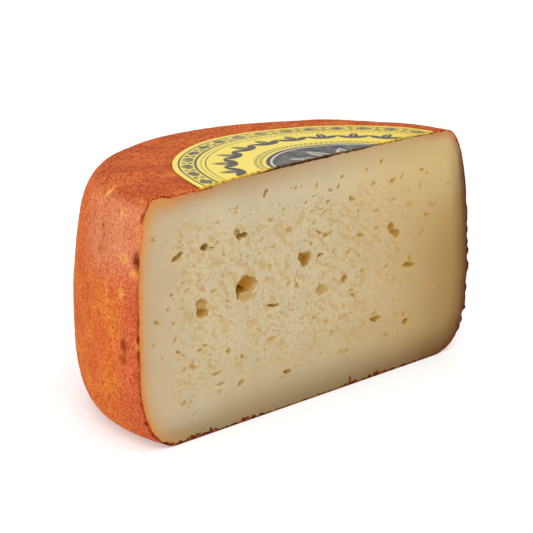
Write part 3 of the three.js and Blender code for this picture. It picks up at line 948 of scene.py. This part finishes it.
# On the top the rub is darker and redder: its own rust tone, and painted shade of the top.
on_top = z.rise(84, 89.5)
pink = y.rise(46, 22) * z.rise(52, 72) * z.rise(93, 87)
by_cut = y.rise(19, 3)
patches = place.noise(17, 3, 0.55, shift=7).rise(0.4, 0.62)
shade = place.noise(16, 2, 0.5, shift=23).rise(0.42, 0.6) * on_top
light = start.blend(patches, GOLDEN_LIGHT, RED_LIGHT).cover(
    (by_cut, CUT_LIGHT), (pink, PINK_LIGHT), (on_top, TOP_LIGHT), (shade * 0.35, TOP_DARK))
dark = start.blend(patches, GOLDEN_DARK, RED_DARK).cover(
    (by_cut, CUT_DARK), (pink, PINK_DARK), (on_top, TOP_DARK))
grain = wiped.noise(0.8, 1, 0.5)
clump = wiped.noise(1.9, 2, 0.5, shift=3)
blotch = place.noise(8, 2, 0.5, shift=12)
tone = grain * 0.66 + clump * 0.2 + blotch * 0.14
specks = (wiped.noise(1.3, 2, 0.6, shift=11) + on_top * 0.03 + shade * 0.04).rise(0.62, 0.76)
ragged = (grain - 0.5) * 1.3 + (clump - 0.5) * 1.1
golden = start.mark("golden")
burnt = start.mark("burnt")
# Painted shade on the rind in the gap under the label's edge at the cut.
shade_under_paper = y.rise(6, 2) * z.rise(87.5, 88.5) * x.rise(-58, -54) * x.rise(66, 60)
colour = start.blend(tone.rise(0.3, 0.7), dark, light).cover(
    (specks * 0.65, SPECK),
    ((ragged + golden * 1.1).rise(0.1, 1.4) * golden.rise(0.02, 0.3), BALD),
    ((ragged + burnt * 1.15).rise(0.1, 1.35) * burnt.rise(0.02, 0.3), BURNT),
    # Dark dots along the cut's left end: dark grain of the rub, and painted shade by the edge.
    (y.rise(2.4, 0) * x.rise(-60, -72) * z.rise(66, 56) * (clump + 0.05), SPECK),
    (shade_under_paper * 0.85, SHADE_UNDER_PAPER),
    # Painted shade on the rind by the cut's right end, the side away from the lamp.
    (y.rise(3, 0) * x.rise(60, 72) * z.rise(88, 76) * 0.8, RIGHT_WALL_SHADE),
)
height = grain * 0.7 + clump * 0.8
bump = start.node("Bump", None, {"Height": height, "Strength": 0.6, "Distance": 0.0003})
plug(shader, Base_Color=colour, Roughness=0.8, Normal=bump, Specular_IOR_Level=0.02)
paprika_rind.data.materials.append(material)

material, shader, start, place, x, y, z = new_material("cut_rind")
left_end = x.rise(-52, -72) * z.rise(87, 82)
right_end = x.rise(60, 72) * z.rise(90, 70)
foot = z.rise(9, 3)
under_paper = x.rise(-58, -50) * x.rise(69, 65)
BRIGHT_EDGE = {
    "top": linear(214, 98, 40), "paper": linear(184, 138, 84), "left": linear(232, 142, 46),
    "right": linear(112, 58, 24), "foot": linear(138, 68, 30),
}
DEEP_EDGE = {
    "top": linear(140, 34, 12), "paper": linear(118, 76, 40), "left": linear(204, 98, 30),
    "foot": linear(84, 36, 12),
}
# At the right end the cut edge is painted dark brown as shade, on the side away from the lamp; along the
# foot the brown is the browned crust.
bright = start.blend(under_paper, BRIGHT_EDGE["top"], BRIGHT_EDGE["paper"]).cover(
    (left_end, BRIGHT_EDGE["left"]), (right_end, BRIGHT_EDGE["right"]), (foot, BRIGHT_EDGE["foot"]))
deep = start.blend(under_paper, DEEP_EDGE["top"], DEEP_EDGE["paper"]).cover(
    (left_end, DEEP_EDGE["left"]), (right_end.larger(foot), DEEP_EDGE["foot"]))
dots = place.noise(1.6, 1, 0.5, shift=6).rise(0.42, 0.56)
colour = start.blend(dots, bright, deep)
bump = start.node("Bump", None, {"Height": place.noise(0.6, 2, 0.6), "Strength": 0.6, "Distance": 0.0003})
plug(shader, Base_Color=colour, Roughness=0.7, Normal=bump, Specular_IOR_Level=0.02)
paprika_rind.data.materials.append(material)
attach(paprika_rind, "root")
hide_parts("cheese_half")

# The label: a round sheet of yellow paper, glued to the top and cut through with the wheel.
# It is printed with rings, a wreath and a dark disc, which are generic ornament here.

LABEL_LOW = 90.03
LABEL_THICKNESS = 0.25
LABEL_STEP = 1.1
PRINT_RADIUS = 62.8
RINGS = ((60.2, 0.32), (54.4, 0.42), (50.9, 0.2), (29.1, 0.75))

arc_start = math.asin(-LABEL_CENTRE[1] / LABEL_RADIUS)
arc = np.linspace(arc_start, math.pi - arc_start, 170)
arc_degrees = np.degrees(arc)
arc_radius = 60.0 + 2.4 * smooth(arc_degrees, 62, 112) + 1.4 * smooth(arc_degrees, 110, 150)
arc_radius += 1.9 * smooth(-arc_degrees, -50, -13) - 0.9 * smooth(-arc_degrees, -12.6, -11.2)
arc_points = arc_radius[:, None] * np.stack((np.cos(arc), np.sin(arc)), 1) + LABEL_CENTRE
arc_points[[0, -1], 1] = 0.0
straight = arc_points[-1] + (arc_points[0] - arc_points[-1]) * np.linspace(0, 1, 130)[1:-1, None]
label_loop = np.concatenate((arc_points, straight))
label_inner = lattice(LABEL_STEP, (-62, 0.5), (70, 54), draw)
label_inner = label_inner[in_outline(label_loop, label_inner)]
label_inner = label_inner[distance_to(label_loop, label_inner) > 0.6]
label_flat = np.concatenate((label_loop, label_inner))
label_faces = triangles(label_loop, label_inner)
upright = np.column_stack((label_flat, np.zeros(len(label_flat))))
lift = 0.05 + 0.05 * ripple(upright, 12, 31) + 0.03 * ripple(upright, 4, 32)
by_middle = smooth(label_flat[:, 0], -45, -15) * smooth(-label_flat[:, 0], -25, 0)
lift += 0.35 * np.exp(-(label_flat[:, 1] / 3) ** 2) * by_middle
lift += hump(label_flat) - sag(np.column_stack((label_flat, np.full(len(label_flat), WHEEL_HEIGHT))))
upper = np.column_stack((label_flat, LABEL_LOW + LABEL_THICKNESS + lift))
lower = upper - [0, 0, LABEL_THICKNESS]
lower[:, 2] -= (0.3 + 0.2 * smooth(-label_flat[:, 0], 22, 30)) * np.exp(-(label_flat[:, 1] / 1.5) ** 2)
label_bearing = np.degrees(np.arctan2(*(label_flat - LABEL_CENTRE).T[::-1]))
stretch = PRINT_RADIUS / np.interp(label_bearing, arc_degrees, arc_radius + 0.4)
label = Surface()
label.add(upper, label_faces, stretch=stretch)
label.add(lower, label_faces, True)
count = len(label_loop)
side = np.concatenate((np.stack((lower[:count], upper[:count]), 1), [[lower[0], upper[0]]])).reshape(-1, 3)
label.add(side, grid_faces(count + 1, 2), slot=1)
label_sheet = label.make("label_sheet", 40)

material, shader, start, place, x, y, z = new_material("label_print")
out_x = x - LABEL_CENTRE[0]
out_y = y - LABEL_CENTRE[1]
radius = x.maths("SQRT", out_x * out_x + out_y * out_y) * start.mark("stretch")
bearing = x.maths("ARCTAN2", out_y, out_x)


def band(low, high, soft=0.12):
    """1 between two distances from the label's middle, 0 elsewhere."""
    return radius.rise(low - soft, low + soft) * radius.rise(high + soft, high - soft)


def repeat(count, shift=0.0):
    """The distance in millimetres from the middle of the nearest of count sectors."""
    turn = bearing * (count / (2 * math.pi)) + shift
    return (x.maths("FRACT", turn) - 0.5) * radius * (2 * math.pi / count)


def leaf(across, along, wide, high, soft=0.12):
    """A pointed oval, 1 inside."""
    filled = 1 - abs(across) / wide - along * along / (high * high)
    return filled.rise(-soft, soft)


ink, *other_rings = [band(middle - half, middle + half) for middle, half in RINGS]
for ring in other_rings:
    ink = ink.larger(ring)

# The outer band: lozenges and pairs of beads between two rings.
mid_band = radius - 57.3
lozenge = leaf(repeat(34), mid_band, 3.3, 2.2)
beads = leaf(repeat(34, 0.5), abs(mid_band) - 1.2, 1.1, 0.9)
worn = place.noise(2.4, 3, 0.65, shift=21).rise(0.3, 0.6)
ornament = lozenge.larger(beads) * (worn * 0.4 + 0.55)
ink = ink.larger(ornament.larger(worn * 0.25) * band(54.6, 60.0))

# The wreath: buds of three leaves.
BUDS = 22
side = abs(repeat(BUDS))
rise = radius - 39.2
lean = math.radians(48)
leaf_across = side * math.cos(lean) - rise * math.sin(lean)
leaf_along = side * math.sin(lean) + rise * math.cos(lean) - 4.6
buds = leaf(repeat(BUDS), radius - 44.2, 1.9, 5.0).larger(leaf(leaf_across, leaf_along, 1.6, 4.2))
veins = side.rise(0.35, 0.15) * radius.rise(42, 44)
ink = ink.larger(buds * (1 - veins * 0.7))

# Rows of dots inside and outside the wreath.
dots = leaf(repeat(96), radius - 33.5, 0.75, 0.75) + leaf(repeat(96, 0.5), radius - 31.7, 0.75, 0.75)
dots = dots + leaf(repeat(150), radius - 52.5, 0.6, 0.5)
ink = ink.larger(dots * 0.75).larger(band(31.0, 34.2, 0.3) * 0.14)

PAPER = linear(240, 218, 92)
PAPER_DEEP = linear(238, 206, 40)
INK = linear(54, 52, 60)
DISC = linear(58, 56, 58)
DISC_WORN = linear(126, 120, 108)
SILVER = linear(214, 212, 200)
paper = start.blend(x.rise(0, 58) * 0.8, PAPER, PAPER_DEEP)
paper = start.blend(place.noise(2.6, 3, 0.6, shift=17).rise(0.45, 0.75) * 0.3, paper, PAPER_DEEP)
faded = place.noise(1.2, 3, 0.7).rise(0.2, 0.6) * 0.16 + 0.84
disc = radius.rise(28.9, 28.7)
petals = leaf(repeat(10), radius - 14, 2.6, 8.5)
rosette = petals * (1 - leaf(repeat(10), radius - 14, 1.3, 6.5) * 0.7) + radius.rise(4.0, 3.6)
disc_tone = start.blend(place.noise(5, 4, 0.65, shift=19).rise(0.42, 0.68) * 0.75, DISC, DISC_WORN)
disc_colour = start.blend(rosette * 0.7, disc_tone, SILVER)
colour = paper.cover((ink * faded, INK), (disc, disc_colour), (band(27.6, 28.3), SILVER))
plug(shader, Base_Color=colour, Roughness=0.5, Specular_IOR_Level=0.2)
label_sheet.data.materials.append(material)

material, shader, start, place, x, y, z = new_material("paper_edge")
soiled = place.noise(1.6, 2, 0.6, shift=8).rise(0.5, 0.62)
by_disc = x.rise(-26, -20) * x.rise(36, 30)
YELLOW_EDGE = linear(226, 184, 50)
YELLOW_STAINED = linear(160, 92, 34)
DISC_EDGE = linear(112, 88, 58)
DISC_STAINED = linear(52, 40, 30)
fresh = start.blend(by_disc, YELLOW_EDGE, DISC_EDGE)
stained = start.blend(by_disc, YELLOW_STAINED, DISC_STAINED)
colour = start.blend(soiled * 0.8, fresh, stained)
plug(shader, Base_Color=colour, Roughness=0.7, Specular_IOR_Level=0.1)
label_sheet.data.materials.append(material)
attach(label_sheet, "root")
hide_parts("paper_label")

# Floor, light and camera: a plain white table in a photo studio.
# One large soft light stands on the left and an even pale surround fills in. The floor glows
# slightly, so that the shadow stays light. The camera stands at the photo's angle.

PHOTO_WIDTH = 533
FOCAL_PIXELS = 2132.1
CAMERA_TURN = math.radians(-45.9)
CAMERA_RISE = math.radians(15.8)
CAMERA_DISTANCE = 752.47
CAMERA_TARGET = np.array([-25.86, 0.0, 55.216])
FLOOR_REACH = 8.0
FLOOR_GREY = (0.62, 0.62, 0.62, 1.0)
FLOOR_GLOW = 0.36
SURROUND = 1.02
KEY_SIZE = 0.5
KEY_POWER = 3
KEY_PLACE = (-0.36, -0.38, 0.62)
KEY_DIRECTION = (-0.34, -0.38, 0.57)
WHITE = (1.0, 1.0, 1.0, 1.0)

scene = bpy.context.scene
camera_data = bpy.data.cameras.new("camera")
camera_data.lens = FOCAL_PIXELS / PHOTO_WIDTH * camera_data.sensor_width
camera = bpy.data.objects.new("camera", camera_data)
scene.collection.objects.link(camera)
scene.camera = camera
back = np.array([
    math.sin(CAMERA_TURN) * math.cos(CAMERA_RISE),
    -math.cos(CAMERA_TURN) * math.cos(CAMERA_RISE),
    math.sin(CAMERA_RISE),
])
camera.location = (CAMERA_TARGET + back * CAMERA_DISTANCE) * MM + WHEEL_AXIS
camera.rotation_euler = Vector(back).to_track_quat("Z", "Y").to_euler()

floor_mesh = bpy.data.meshes.new("floor")
corners = [(x * FLOOR_REACH, y * FLOOR_REACH, 0) for x, y in ((-1, -1), (1, -1), (1, 1), (-1, 1))]
floor_mesh.from_pydata(corners, [], [(0, 1, 2, 3)])
floor = bpy.data.objects.new("floor", floor_mesh)
scene.collection.objects.link(floor)
material, shader = new_material("pale_floor")[:2]
plug(shader, Base_Color=FLOOR_GREY, Roughness=0.6, Emission_Color=WHITE, Emission_Strength=FLOOR_GLOW)
floor_mesh.materials.append(material)

scene.view_settings.view_transform = "Standard"
world = bpy.data.worlds.new("studio")
scene.world = world
world.use_nodes = True
background = world.node_tree.nodes["Background"]
background.inputs["Color"].default_value = WHITE
background.inputs["Strength"].default_value = SURROUND
key_data = bpy.data.lights.new("key", "AREA")
key_data.size = KEY_SIZE
key_data.energy = KEY_POWER
key = bpy.data.objects.new("key", key_data)
scene.collection.objects.link(key)
key.location = KEY_PLACE
key.rotation_euler = Vector(KEY_DIRECTION).to_track_quat("Z", "Y").to_euler()
